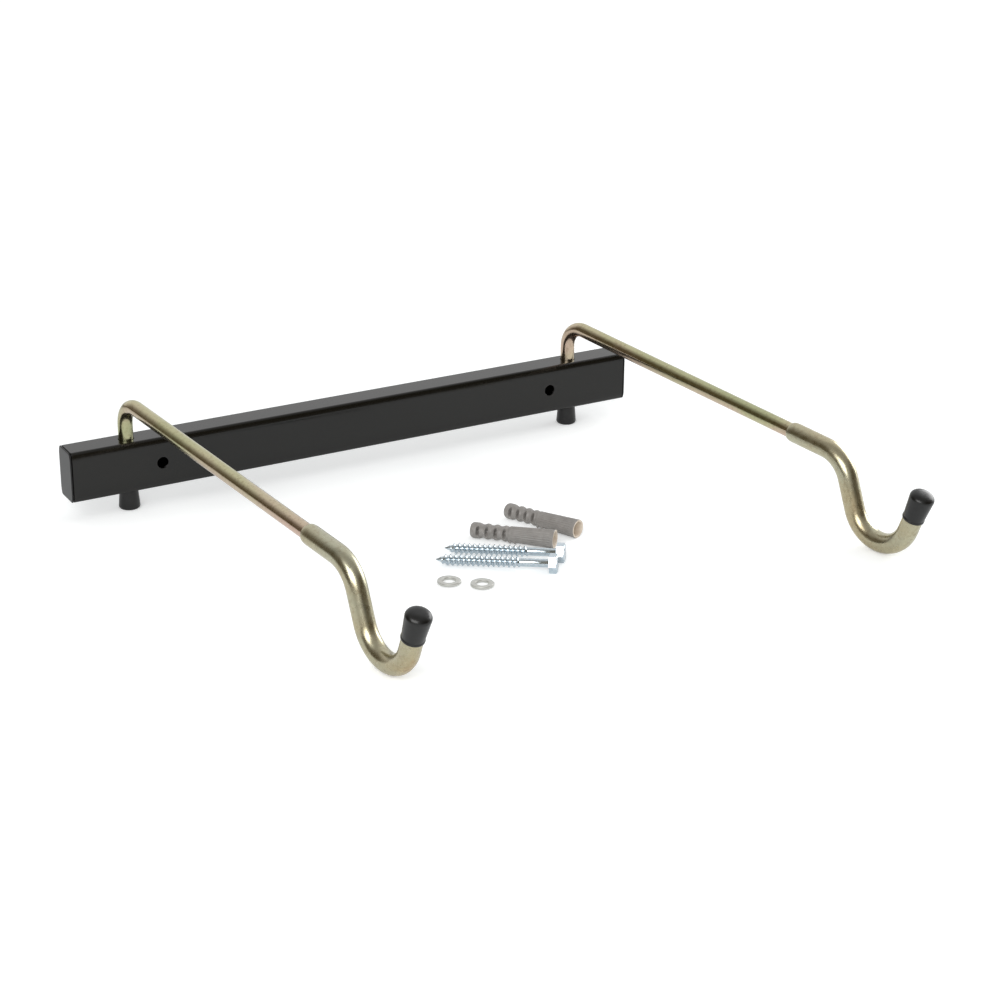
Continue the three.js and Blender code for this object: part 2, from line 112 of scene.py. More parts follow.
# Caps of vinyl
TIP_CAP_LENGTH = 23.6
TIP_CAP_FLARE = 18.6
TIP_CAP_DOME = 4.6
TIP_CAP_DEPTH = 16
TIP_CAP_SKIN = 0.1       # clearance round the tube
TIP_CAP_LIP = 0.8        # how far the lip stands out from the tube
TIP_CAP_BEAD = 1.4       # height of the rolled lip
TIP_CAP_GROOVE = 0.35    # depth of the line above the lip
DOME_POWER = 0.72        # below 1 the dome is fuller at its shoulder
DOME_STEPS = 14
TIP_CAP_CREASE = math.radians(60)
FOOT_HEIGHT = 16.25
FOOT_DEPTH = 12
FOOT_RIM = 1.1
FOOT_FLARE = 16.8
FOOT_EDGE = 2
FOOT_RIM_EDGE = 0.4
FOOT_BORE_EDGE = 0.2

# Lag screws
SCREW_LENGTH = 83.5
THREAD_LENGTH = 62
THREAD_DIAMETER = 8.6
THREAD_CORE = 5.8
THREAD_PITCH = 3.75
THREAD_FLANK_SHARE = 0.3
CREST_SHARE = 0.9        # of the crest's height, above which it is flat
THREAD_ROWS = 12         # rings in one turn of the thread
POINT_LENGTH = 7.5
POINT_POWER = 0.8        # below 1 the point is fuller
SHANK_DIAMETER = 6.2
HEAD_FLATS = 13
HEAD_HEIGHT = 6
HEAD_CHAMFER = 1.1
HEAD_CHAMFER_ANGLE = math.radians(30)
HEAD_CHAMFER_INSET = 0.2  # from the flats to the chamfer's circle
HEAD_CHAMFER_STEPS = 8
NECK_FILLET = 0.4        # where the shank meets the head
SCREW_CREASE = math.radians(45)
SCREW_SIDES = 36
POINT_PITCHES = 2

# Spring washers
WASHER_OUTER = 17.2
WASHER_INNER = 9.8
WASHER_THICKNESS = 2
WASHER_SLIT = math.radians(14)
WASHER_LIFT = 0.8
WASHER_EDGE = 0.35
WASHER_EDGE_STEPS = 4
WASHER_CUT = math.radians(25)  # slant of the cut ends
WASHER_STEPS = 72

# Wall plugs
PLUG_LENGTH = 65
PLUG_SLEEVE = 34.5
PLUG_MOUTH_DIAMETER = 14.2
PLUG_SLEEVE_DIAMETER = 11.8  # of the sleeve, at its other end
PLUG_RING_DIAMETER = 12
PLUG_NECK_DIAMETER = 10
PLUG_RINGS = 4
PLUG_NOSE = 3            # length of the rounded nose
PLUG_NOSE_DIAMETER = 7.7
PLUG_RING_PITCH = (PLUG_LENGTH - PLUG_SLEEVE - PLUG_NOSE) / PLUG_RINGS
PLUG_MOUTH_BORE = 11
PLUG_BORE = 9            # where the bore's taper ends
PLUG_BORE_DEPTH = 32
PLUG_PILOT = 3
PLUG_MOUTH_EDGE = 0.25
PLUG_WINDOW = 2.8        # width of a window, along the plug
PLUG_WINDOW_TURN = math.radians(46)  # half of the angle that a window takes
PLUG_WINDOW_RIM = 0.8    # share of a window's half width at which its wall starts to fall
PLUG_WINDOW_FLOOR = 2    # radius at the bottom of a window
PLUG_SPIN = math.radians(14)         # how far the plug has rolled on the table
PLUG_RIBS = 24
PLUG_RIB_HEIGHT = 0.18
PLUG_RIB_START = (1, 2.5)  # from the mouth, between which the ribs grow
PLUG_RIB_END = (2, 1)    # from the sleeve's end, between which they fade
PLUG_NECK_BLEND = 0.9    # in which the sleeve falls to the rings
PLUG_CREASE = math.radians(60)
PLUG_ROW = 0.3           # between rings of points
PLUG_SIDES = 144
FIN_HEIGHT = 1.9         # teeth that stop the plug from turning
FIN_TURN = math.radians(42)
FIN_WIDTH = math.radians(10)
FIN_LENGTH = 3.8         # of one tooth
FIN_COUNT = 2
FIN_START = 29           # from the mouth

# Where the loose fixings lie, in millimetres, with the direction of each axis
SCREW_PLACES = {"front": (-39, -218.5, math.radians(-37)), "rear": (-23.6, -203.5, math.radians(-38))}
PLUG_PLACES = {
    "front": (52.7, -234.3, math.radians(133.3)), "rear": (77.4, -226.1, math.radians(115)),
}
WASHER_PLACES = {
    "left": (-45.5, -251.9, math.radians(-35)), "right": (-26.8, -267.1, math.radians(-28)),
}

# Camera, as the photograph was taken
CAMERA_PLACE = Vector((-767.46, -1594.03, 664.03))
CAMERA_YAW = math.radians(29.62)
CAMERA_PITCH = math.radians(22.654)
CAMERA_ROLL = math.radians(0.518)
FOCAL_LENGTH = 84.43
SENSOR_WIDTH = 36


# Shapes


def filleted(corners, steps=6, closed=False):
    """The points of an outline whose corners are (x, y, radius), each rounded by an arc"""
    points = []
    for i, (x, y, radius) in enumerate(corners):
        here = Vector((x, y))
        if radius == 0 or (not closed and i in (0, len(corners) - 1)):
            points.append(here)
            continue
        back = (Vector(corners[i - 1][:2]) - here).normalized()
        forth = (Vector(corners[(i + 1) % len(corners)][:2]) - here).normalized()
        half = back.angle(forth) / 2
        centre = here + (back + forth).normalized() * radius / math.sin(half)
        start = here + back * radius / math.tan(half) - centre
        end = here + forth * radius / math.tan(half) - centre
        first = math.atan2(start.y, start.x)
        turn = math.remainder(math.atan2(end.y, end.x) - first, math.tau)
        for step in range(steps + 1):
            angle = first + turn * step / steps
            points.append(centre + radius * Vector((math.cos(angle), math.sin(angle))))
    return points


def rounded_rectangle(width, height, corner, steps):
    x, y = width / 2, height / 2
    corners = [(x, y), (-x, y), (-x, -y), (x, -y)]
    return filleted([(*point, corner) for point in corners], steps, closed=True)


def rolled_rectangle(width, height, arcs):
    """A rectangle whose corners are chains of arcs: the radius and angle of each, tall face first"""
    points = []
    for quarter in range(4):
        tall_first = quarter % 2 == 0
        across, along = (width, height) if tall_first else (height, width)
        chain = [Vector((0, 0))]
        heading = 0
        for radius, angle in arcs if tall_first else reversed(arcs):
            for _ in range(BAR_STEPS):
                after = heading + angle / BAR_STEPS
                gone = (math.cos(after) - math.cos(heading), math.sin(after) - math.sin(heading))
                chain.append(chain[-1] + radius * Vector(gone))
                heading = after
        chain = [Vector((0, -FLAT_EDGE)), *chain, chain[-1] - Vector((FLAT_EDGE, 0))]
        start = Vector((across / 2, along / 2 - chain[-1].y))
        turn = Matrix.Rotation(quarter * math.pi / 2, 2)
        points += [turn @ (start + step) for step in chain]
    return points


def bar_outline(inset):
    """The bar's section, drawn in by a distance: its tall faces roll over gently to the corners"""
    size = BAR_HIGH - BAR_LOW
    shoulder = (BAR_SHOULDER - inset, BAR_LEAN)
    corner = (max(BAR_CORNER - inset, LEAST_CORNER), math.pi / 2 - BAR_LEAN)
    return rolled_rectangle(size.y - 2 * inset, size.z - 2 * inset, (shoulder, corner))


def turned(profile, sides=ROUND_SIDES):
    """Rings about Z for a profile of (radius, height)"""
    angles = [math.tau * i / sides for i in range(sides)]
    return [[(r * math.cos(a), r * math.sin(a), z) for a in angles] for r, z in profile]


def shaped(heights, radius_at, sides):
    """Rings about Z whose radius depends on height and angle"""
    angles = [math.tau * i / sides for i in range(sides)]
    return [
        [(radius_at(z, a) * math.cos(a), radius_at(z, a) * math.sin(a), z) for a in angles]
        for z in heights
    ]


class BentPath:
    """Stations along a bent rod in its arm's plane: reach, height, heading below level, distance"""

    def __init__(self, reach, height, heading):
        self.stations = [(reach, height, heading, 0)]

    def straight(self, length):
        reach, height, heading, walked = self.stations[-1]
        count = max(1, round(length / STRAIGHT_STEP))
        for i in range(1, count + 1):
            gone = length * i / count
            place = (reach + gone * math.cos(heading), height - gone * math.sin(heading))
            self.stations.append((*place, heading, walked + gone))
        return self

    def bend(self, radius, angle):
        """Positive angles turn down"""
        reach, height, heading, walked = self.stations[-1]
        arm = math.copysign(radius, angle)
        centre_reach = reach - arm * math.sin(heading)
        centre_height = height - arm * math.cos(heading)
        count = math.ceil(abs(angle) / BEND_STEP)
        for i in range(1, count + 1):
            now = heading + angle * i / count
            place = (centre_reach + arm * math.sin(now), centre_height + arm * math.cos(now))
            self.stations.append((*place, now, walked + radius * abs(angle) * i / count))
        return self

    def rings(self, radius_at, sides=ROUND_SIDES):
        rows = []
        for reach, height, heading, walked in self.stations:
            radius = radius_at(walked)
            row = []
            for i in range(sides):
                angle = math.tau * i / sides
                rise = radius * math.sin(angle)
                y = -reach - rise * math.sin(heading)
                row.append((radius * math.cos(angle), y, height + rise * math.cos(heading)))
            rows.append(row)
        return rows

    def at_end(self):
        """Lays +Z along the path at its last station"""
        reach, height, heading, _ = self.stations[-1]
        turn = Matrix.Rotation(math.pi / 2 + heading, 4, "X")
        return Matrix.Translation((0, -reach, height)) @ turn


def mesh_of(rings, looped=False, inner=()):
    """Joins rings of points by quads; bands whose number is in inner get the second material"""
    shape = bmesh.new()
    rows = [[shape.verts.new(point) for point in ring] for ring in rings]
    bands = list(zip(rows, rows[1:]))
    if looped:
        bands.append((rows[-1], rows[0]))
    count = len(rows[0])
    for number, (low, high) in enumerate(bands):
        for i in range(count):
            j = (i + 1) % count
            face = shape.faces.new((low[i], low[j], high[j], high[i]))
            face.material_index = int(number in inner)
    if not looped:
        shape.faces.new(reversed(rows[0]))
        shape.faces.new(rows[-1])
    bmesh.ops.remove_doubles(shape, verts=shape.verts, dist=MERGE_DISTANCE)
    bmesh.ops.recalc_face_normals(shape, faces=shape.faces)
    return shape


def finish_piece(name, shape, place, materials, body, node, crease=CREASE):
    """Makes the piece in metres, smooth but for its creases, in place of its CAD node"""
    shape.transform(Matrix.Scale(MM, 4) @ place)
    mesh = bpy.data.meshes.new(name)
    shape.to_mesh(mesh)
    shape.free()
    mesh.set_sharp_from_angle(angle=crease)
    for face in mesh.polygons:
        face.use_smooth = face.area < BROAD_FACE * MM * MM
    for material in materials:
        mesh.materials.append(material)
    piece = bpy.data.objects.new(name, mesh)
    bpy.context.scene.collection.objects.link(piece)
    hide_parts(node)
    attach(piece, body)
    return piece


# Materials


def linear(colour):
    """An sRGB hex colour as linear red, green, blue and alpha"""
    values = [int(colour[i:i + 2], 16) / 255 for i in (1, 3, 5)]
    return (*(v / 12.92 if v <= 0.04045 else ((v + 0.055) / 1.055) ** 2.4 for v in values), 1)


def node(tree, kind, settings=None, inputs=None, stops=()):
    """Adds a node with its settings, its inputs as values or as what feeds them, and ramp stops"""
    made = tree.nodes.new(kind)
    for key, value in (settings or {}).items():
        setattr(made, key, value)
    for key, value in (inputs or {}).items():
        if isinstance(value, bpy.types.Node):
            value = value.outputs[0]
        if isinstance(value, bpy.types.NodeSocket):
            tree.links.new(value, made.inputs[key])
        else:
            made.inputs[key].default_value = value
    for number, (position, colour) in enumerate(stops):
        ramp = made.color_ramp.elements
        stop = ramp[number] if number < 2 else ramp.new(position)
        stop.position = position
        stop.color = colour
    return made


def new_material(name):
    material = bpy.data.materials.new(name)
    material.use_nodes = True
    tree = material.node_tree
    tree.nodes.clear()
    place = tree.nodes.new("ShaderNodeTexCoord").outputs["Object"]
    return material, tree, place


def per_metre(size_mm):
    """The scale of a pattern whose grains are that many millimetres across"""
    return 1 / (size_mm * MM)


def powder_coat():
    """Satin black powder coat: baked powder, which flows into a faintly pebbled, even skin"""
    material, tree, place = new_material("satin_black_powder_coat")
    pebbles = node(tree, "ShaderNodeTexNoise", {}, {"Vector": place, "Scale": per_metre(1.4), "Detail": 2})
    bump = node(tree, "ShaderNodeBump", {}, {"Strength": 0.12, "Distance": 0.05 * MM, "Height": pebbles})
    flow = node(tree, "ShaderNodeTexNoise", {}, {"Vector": place, "Scale": per_metre(45), "Detail": 3})
    gloss = node(tree, "ShaderNodeMapRange", {}, {"Value": flow, "To Min": 0.15, "To Max": 0.24})
    shader = node(tree, "ShaderNodeBsdfPrincipled", {}, {
        "Base Color": linear("#0b0a07"), "Roughness": gloss, "Normal": bump, "IOR": 1.45,
    })
    node(tree, "ShaderNodeOutputMaterial", {}, {"Surface": shader})
    return material


def moulded_plastic():
    """Black polyethylene, injection moulded: a fine even grain from the mould, softer in its gloss"""
    material, tree, place = new_material("moulded_black_polyethylene")
    grain = node(tree, "ShaderNodeTexNoise", {}, {"Vector": place, "Scale": per_metre(0.5), "Detail": 2})
    bump = node(tree, "ShaderNodeBump", {}, {"Strength": 0.25, "Distance": 0.03 * MM, "Height": grain})
    shader = node(tree, "ShaderNodeBsdfPrincipled", {}, {
        "Base Color": linear("#0c0c0c"), "Roughness": 0.34, "Normal": bump, "IOR": 1.42,
    })
    node(tree, "ShaderNodeOutputMaterial", {}, {"Surface": shader})
    return material


def dipped_vinyl():
    """Soft black PVC, dip moulded: a dull skin with a weak sheen and slight flow marks"""
    material, tree, place = new_material("dipped_black_vinyl")
    marks = node(tree, "ShaderNodeTexNoise", {}, {"Vector": place, "Scale": per_metre(3), "Detail": 4})
    bump = node(tree, "ShaderNodeBump", {}, {"Strength": 0.2, "Distance": 0.06 * MM, "Height": marks})
    tone = node(tree, "ShaderNodeValToRGB", {}, {"Fac": marks}, [
        (0.35, linear("#0a0a0a")), (0.7, linear("#121212")),
    ])
    shader = node(tree, "ShaderNodeBsdfPrincipled", {}, {
        "Base Color": tone, "Roughness": 0.3, "Normal": bump, "IOR": 1.47,
    })
    node(tree, "ShaderNodeOutputMaterial", {}, {"Surface": shader})
    return material


PATCH_SHARE = 0.7        # how much of the film's change is in patches
STAIN = linear("#7d6546")


def yellow_zinc(name, stops, patch_mm, roughness, trend, up_down_tint):
    """Zinc plated steel with yellow passivation: a bright metal whose thin film is champagne, in
    patches drawn out along the rod. The film changes along the arm, by trend as its value at the
    bar and its rise to a metre out. By up_down_tint its colour also shifts with the way the surface
    faces: more olive where it faces up, pinker and a little lighter where it faces down"""
    material, tree, place = new_material(name)
    stretched = node(tree, "ShaderNodeMapping", {"vector_type": "POINT"}, {
        "Vector": place, "Scale": (1, 0.35, 1),
    })
    film = node(tree, "ShaderNodeTexNoise", {}, {
        "Vector": stretched, "Scale": per_metre(patch_mm), "Detail": 3, "Distortion": 0.4,
    })
    facing = tree.nodes.new("ShaderNodeNewGeometry").outputs["Normal"]
    upward = node(tree, "ShaderNodeSeparateXYZ", {}, {"Vector": facing}).outputs["Z"]
    along = node(tree, "ShaderNodeSeparateXYZ", {}, {"Vector": place}).outputs["Y"]
    value = node(tree, "ShaderNodeMath", {"operation": "MULTIPLY_ADD"}, {
        0: along, 1: -trend[1], 2: trend[0] - PATCH_SHARE / 2,
    })
    # colour set by the way the surface faces: more olive facing up, pinker and lighter facing down
    for share, part in ((-up_down_tint, upward), (PATCH_SHARE, film)):
        value = node(tree, "ShaderNodeMath", {"operation": "MULTIPLY_ADD"}, {0: part, 1: share, 2: value})
    clean = node(tree, "ShaderNodeValToRGB", {}, {"Fac": value}, stops)
    mottle = node(tree, "ShaderNodeTexNoise", {}, {"Vector": place, "Scale": per_metre(6), "Detail": 4})
    specks = node(tree, "ShaderNodeTexNoise", {}, {"Vector": place, "Scale": per_metre(2.6), "Detail": 4})
    stained = node(tree, "ShaderNodeMapRange", {}, {
        "Value": specks, "From Min": 0.5, "From Max": 0.75, "To Max": 0.36,
    })
    colour = node(tree, "ShaderNodeMix", {"data_type": "RGBA"}, {0: stained, 6: clean, 7: STAIN}).outputs[2]
    gloss = node(tree, "ShaderNodeMapRange", {}, {
        "Value": mottle, "From Min": 0.3, "From Max": 0.7,
        "To Min": roughness[0], "To Max": roughness[1],
    })
    crystals = node(tree, "ShaderNodeTexNoise", {}, {"Vector": place, "Scale": per_metre(0.7), "Detail": 2})
    bump = node(tree, "ShaderNodeBump", {}, {"Strength": 0.08, "Distance": 0.03 * MM, "Height": crystals})
    shader = node(tree, "ShaderNodeBsdfPrincipled", {}, {
        "Base Color": colour, "Metallic": 1, "Roughness": gloss, "Normal": bump,
    })
    node(tree, "ShaderNodeOutputMaterial", {}, {"Surface": shader})
    return material


def blue_zinc():
    """Zinc plated steel with blue passivation: a bright, cold metal, a little uneven in its gloss"""
    material, tree, place = new_material("blue_passivated_zinc")
    mottle = node(tree, "ShaderNodeTexNoise", {}, {"Vector": place, "Scale": per_metre(2), "Detail": 3})
    gloss = node(tree, "ShaderNodeMapRange", {}, {"Value": mottle, "To Min": 0.12, "To Max": 0.3})
    colour = node(tree, "ShaderNodeValToRGB", {}, {"Fac": mottle}, [
        (0.3, linear("#b4c2cc")), (0.7, linear("#d0d9de")),
    ])
    shader = node(tree, "ShaderNodeBsdfPrincipled", {}, {
        "Base Color": colour, "Metallic": 1, "Roughness": gloss,
    })
    node(tree, "ShaderNodeOutputMaterial", {}, {"Surface": shader})
    return material


def barrelled_zinc():
    """Spring steel, zinc plated in a barrel: pale and silky, dulled by tumbling"""
    material, tree, place = new_material("barrel_plated_spring_steel")
    scuffs = node(tree, "ShaderNodeTexNoise", {}, {"Vector": place, "Scale": per_metre(1.2), "Detail": 4})
    gloss = node(tree, "ShaderNodeMapRange", {}, {"Value": scuffs, "To Min": 0.3, "To Max": 0.5})
    bump = node(tree, "ShaderNodeBump", {}, {"Strength": 0.2, "Distance": 0.03 * MM, "Height": scuffs})
    shader = node(tree, "ShaderNodeBsdfPrincipled", {}, {
        "Base Color": linear("#c9c9c4"), "Metallic": 1, "Roughness": gloss, "Normal": bump,
    })
    node(tree, "ShaderNodeOutputMaterial", {}, {"Surface": shader})
    return material


def nylon(name, dark, light):
    """Grey nylon, injection moulded: silky, with a slight mottle from the flow of the melt"""
    material, tree, place = new_material(name)
    flow = node(tree, "ShaderNodeTexNoise", {}, {"Vector": place, "Scale": per_metre(5), "Detail": 4})
    colour = node(tree, "ShaderNodeValToRGB", {}, {"Fac": flow}, [
        (0.3, linear(dark)), (0.7, linear(light)),
    ])
    shader = node(tree, "ShaderNodeBsdfPrincipled", {}, {
        "Base Color": colour, "Roughness": 0.42, "IOR": 1.53,
    })
    node(tree, "ShaderNodeOutputMaterial", {}, {"Surface": shader})
    return material


# Pieces


def wall_bar(coat):
    """Rectangular tube with rounded edges, bored for two screws and two legs"""
    size = BAR_HIGH - BAR_LOW
    outside = bar_outline(0)
    inside = bar_outline(BAR_WALL)
    axis_y = (BAR_LOW.y + BAR_HIGH.y) / 2
    rings = [
        [(x, axis_y + point.x, point.y) for point in outline]
        for x, outline in (
            (BAR_LOW.x, outside), (BAR_HIGH.x, outside), (BAR_HIGH.x, inside), (BAR_LOW.x, inside),
        )
    ]
    shape = mesh_of(rings, looped=True)
    cutters = bmesh.new()
    for place in LEG_PLACES.values():
        drill(cutters, Matrix.Translation((*place, 0)), LEG_HOLE, 2 * size.z)
        inwards = place.x - math.copysign(SCREW_OFFSET, place.x)
        screw = Matrix.Translation((inwards, axis_y, 0)) @ Matrix.Rotation(math.pi / 2, 4, "X")
        drill(cutters, screw, SCREW_HOLE, 2 * size.y)
    shape = bored(shape, cutters)
    return finish_piece(
        "wall_bar_coated", shape, Matrix(), [coat], "wall_bar", "wall_bar",
        crease=BAR_CREASE,
    )


def drill(cutters, place, diameter, length):
    bmesh.ops.create_cone(
        cutters, cap_ends=True, segments=HOLE_SIDES, radius1=diameter / 2, radius2=diameter / 2,
        depth=length, matrix=place,
    )


def bored(shape, cutters):
    """Cuts one shape out of another, and rounds the edges of the holes"""
    made = []
    for name, source in (("blank", shape), ("drills", cutters)):
        mesh = bpy.data.meshes.new(name)
        source.to_mesh(mesh)
        source.free()
        made.append(bpy.data.objects.new(name, mesh))
        bpy.context.scene.collection.objects.link(made[-1])
    blank, drills = made
    cut = blank.modifiers.new("bore", "BOOLEAN")
    cut.operation = "DIFFERENCE"
    cut.object = drills
    cut.solver = "EXACT"
    edge = blank.modifiers.new("edge", "BEVEL")
    edge.width = HOLE_EDGE
    edge.segments = HOLE_EDGE_STEPS
    edge.limit_method = "ANGLE"
    edge.angle_limit = HOLE_EDGE_ANGLE
    seen = blank.evaluated_get(bpy.context.evaluated_depsgraph_get())
    result = bmesh.new()
    result.from_mesh(seen.to_mesh())
    for piece in made:
        bpy.data.objects.remove(piece)
    return result


def end_cap(side, plastic):
    """A plate with a rounded rim on a hollow spigot that sits in the tube"""
    stations = [
        (CAP_FLANGE - CAP_WALL, CAP_WALL + BAR_WALL + SEAT_GAP),
        (-CAP_SPIGOT, CAP_WALL + BAR_WALL + SEAT_GAP),
        (-CAP_SPIGOT, BAR_WALL + SEAT_GAP),
        (CAP_SEAM, BAR_WALL + SEAT_GAP),
        (CAP_SEAM, CAP_BACK_EDGE),
        (CAP_SEAM + CAP_BACK_EDGE, 0),
    ]
    for step in range(CAP_STEPS + 1):
        angle = math.pi / 2 * step / CAP_STEPS
        x = CAP_FLANGE - CAP_ROUNDING * (1 - math.sin(angle))
        stations.append((x, CAP_ROUNDING * (1 - math.cos(angle))))
    stations.append((CAP_FLANGE, CAP_ROUNDING + FLAT_EDGE))
    rings = []
    for x, inset in stations:
        rings.append([(BAR_HIGH.x + SEAT_GAP + x, point.x, point.y) for point in bar_outline(inset)])
    axis = Matrix.Translation((0, (BAR_LOW.y + BAR_HIGH.y) / 2, 0))
    if side == "left":
        axis = axis @ Matrix.Rotation(math.pi, 4, "Z")
    return finish_piece(
        f"end_cap_{side}_moulded", mesh_of(rings), axis, [plastic], "wall_bar", f"end_cap_{side}",
    )


def arm_place(side):
    """From the arm's own frame, with its leg on Z, to where the arm stands"""
    return Matrix.Translation((*LEG_PLACES[side], 0)) @ Matrix.Rotation(SWING[side], 4, "Z")


def arm_rod(side, zinc):
    turn = math.pi / 2 + ARM_DROOP
    tangent = LEG_BEND * math.tan(turn / 2)
    low = FLOOR + FOOT_HEIGHT - FOOT_DEPTH + SEAT_GAP
    path = BentPath(0, low, -math.pi / 2)
    path.straight(BAR_HIGH.z + ARM_RISE - tangent - low)
    path.bend(LEG_BEND, turn)
    path.straight(ARM_LENGTH - tangent + ROD_INSERT)
    rings = path.rings(lambda walked: ROD_DIAMETER / 2)
    return finish_piece(
        f"arm_rod_{side}_plated", mesh_of(rings), arm_place(side), [zinc], f"{side}_arm",
        f"arm_rod_{side}",
    )


def tube_start():
    reach = ARM_LENGTH * math.cos(ARM_DROOP)
    return reach, BAR_HIGH.z + ARM_RISE - ARM_LENGTH * math.sin(ARM_DROOP)


def hook_path():
    """The hook tube's axis, whose lowest point lies on the floor, up to the rim of its cap"""
    reach, height = tube_start()
    steep = ARM_DROOP + DROP_ANGLE
    fall = height - FLOOR - TUBE_DIAMETER / 2
    fall -= SLEEVE_LENGTH * math.sin(ARM_DROOP)
    fall -= DROP_BEND * (math.cos(ARM_DROOP) - math.cos(steep))
    fall -= HOOK_BEND * (1 - math.cos(steep))
    path = BentPath(reach, height, ARM_DROOP)
    path.straight(SLEEVE_LENGTH)
    path.bend(DROP_BEND, DROP_ANGLE)
    path.straight(fall / math.sin(steep))
    path.bend(HOOK_BEND, -HOOK_ANGLE)
    return path.straight(TIP_LENGTH)


def hook_tube(side, zinc):
    """Tube pushed over the rod's end, its edge swaged down to the rod"""
    path = hook_path()
    path.straight(TIP_CAP_DEPTH - SEAT_GAP)
    bore = ROD_DIAMETER / 2 + SEAT_GAP
    full = TUBE_DIAMETER / 2
    edge = bore + TUBE_EDGE
    first = path.stations.pop(0)
    taper = []
    for i in range(TAPER_STEPS + 1):
        gone = TUBE_TAPER * (1 - math.cos(math.pi / 2 * i / TAPER_STEPS))
        reach = first[0] + gone * math.cos(ARM_DROOP)
        taper.append((reach, first[1] - gone * math.sin(ARM_DROOP), ARM_DROOP, gone))
    path.stations = taper + [station for station in path.stations if station[3] > TUBE_TAPER]

    def outside(walked):
        if walked >= TUBE_TAPER:
            return full
        return edge + (full - edge) * math.sqrt(1 - (1 - walked / TUBE_TAPER) ** 2)

    rings = path.rings(outside)
    inner = path.rings(lambda walked: bore)
    rings += reversed(inner)
    return finish_piece(
        f"hook_tube_{side}_plated", mesh_of(rings, looped=True), arm_place(side), [zinc],
        f"{side}_arm", f"hook_tube_{side}",
    )


def hook_cap(side, vinyl):
    """Cap with a rolled lip, flared to its shoulder, with a full, low dome"""
    tube = TUBE_DIAMETER / 2
    bore = tube + TIP_CAP_SKIN
    lip = tube + TIP_CAP_LIP
    flare = TIP_CAP_FLARE / 2
    shoulder = TIP_CAP_LENGTH - TIP_CAP_DOME
    groove = TIP_CAP_BEAD + 2 * TIP_CAP_GROOVE
    profile = filleted([
        (0, TIP_CAP_DEPTH, 0), (bore, TIP_CAP_DEPTH, 0), (bore, 0, TIP_CAP_SKIN),
        (lip, 0, TIP_CAP_GROOVE), (lip, TIP_CAP_BEAD, TIP_CAP_GROOVE),
        (lip - TIP_CAP_GROOVE, groove, TIP_CAP_SKIN), (flare, shoulder, 0),
    ])
    for i in range(1, DOME_STEPS + 1):
        angle = math.pi / 2 * i / DOME_STEPS
        radius = flare * max(math.cos(angle), 0) ** DOME_POWER
        profile.append((radius, shoulder + TIP_CAP_DOME * math.sin(angle)))
    return finish_piece(
        f"hook_cap_{side}_dipped", mesh_of(turned(profile)), arm_place(side) @ hook_path().at_end(),
        [vinyl], f"{side}_arm", f"hook_cap_{side}", crease=TIP_CAP_CREASE,
    )


def foot_cap(side, vinyl):
    """Cap on the leg's end, flared down to a rounded edge"""
    bore = ROD_DIAMETER / 2 + SEAT_GAP
    profile = filleted([
        (0, 0, 0), (FOOT_FLARE / 2, 0, FOOT_EDGE), (bore + FOOT_RIM, FOOT_HEIGHT, FOOT_RIM_EDGE),
        (bore, FOOT_HEIGHT, FOOT_BORE_EDGE), (bore, FOOT_HEIGHT - FOOT_DEPTH, 0),
        (0, FOOT_HEIGHT - FOOT_DEPTH, 0),
    ])
    place = arm_place(side) @ Matrix.Translation((0, 0, FLOOR))
    return finish_piece(
        f"foot_cap_{side}_dipped", mesh_of(turned(profile)), place, [vinyl], f"{side}_arm",
        f"foot_cap_{side}",
    )


def smooth(value, low, high):
    """Rises from 0 to 1 between two values, level at both"""
    share = min(max((value - low) / (high - low), 0), 1)
    return share * share * (3 - 2 * share)


def screw_radius(z, angle):
    """Radius of the threaded and plain part: a helical ridge on a core that ends in a point"""
    shank = smooth(z, THREAD_LENGTH - THREAD_PITCH / 2, THREAD_LENGTH + THREAD_PITCH / 2)
    core = THREAD_CORE / 2 + shank * (SHANK_DIAMETER - THREAD_CORE) / 2
    core *= min(1, z / POINT_LENGTH) ** POINT_POWER
    turn = (z / THREAD_PITCH - angle / math.tau) % 1
    ridge = max(0, 1 - abs(turn - 0.5) / THREAD_FLANK_SHARE)
    ridge = min(ridge, CREST_SHARE) / CREST_SHARE
    cut_in = smooth(z, THREAD_PITCH / 2, POINT_LENGTH) * (1 - shank)
    return core + ridge * cut_in * (THREAD_DIAMETER - THREAD_CORE) / 2


def head_radius(z, angle):
    """Radius of the hexagonal head, with a turned chamfer at its top"""
    sixth = math.pi / 6
    hexagon = HEAD_FLATS / 2 / math.cos((angle + sixth) % (2 * sixth) - sixth)
    top = SCREW_LENGTH + HEAD_HEIGHT
    cone = HEAD_FLATS / 2 - HEAD_CHAMFER_INSET + (top - z) / math.tan(HEAD_CHAMFER_ANGLE)
    return min(hexagon, cone)


def lag_screw(name, zinc):
    x, y, turn = SCREW_PLACES[name]
    step = THREAD_PITCH / THREAD_ROWS
    rows = round((THREAD_LENGTH + THREAD_PITCH) / step)
    heights = [i * step for i in range(rows + 1)] + [SCREW_LENGTH - NECK_FILLET]
    rings = shaped(heights, screw_radius, SCREW_SIDES)
    rings += shaped([SCREW_LENGTH], lambda z, a: SHANK_DIAMETER / 2 + NECK_FILLET, SCREW_SIDES)
    top = SCREW_LENGTH + HEAD_HEIGHT
    shares = [i / HEAD_CHAMFER_STEPS for i in range(HEAD_CHAMFER_STEPS + 1)]
    head = [SCREW_LENGTH, *(top - HEAD_CHAMFER * (1 - share) for share in shares)]
    rings += shaped(head, head_radius, SCREW_SIDES)
    edge = HEAD_FLATS / 2
    rise = edge - THREAD_DIAMETER / 2
    tilt = math.atan(rise / (SCREW_LENGTH - POINT_PITCHES * THREAD_PITCH))
    lift = edge * math.cos(tilt) - SCREW_LENGTH * math.sin(tilt)
    place = lying(x, y, lift, turn, tilt)
    return finish_piece(
        f"lag_screw_{name}_plated", mesh_of(rings), place, [zinc], "wall_bar",
        f"lag_screw_{name}", crease=SCREW_CREASE,
    )


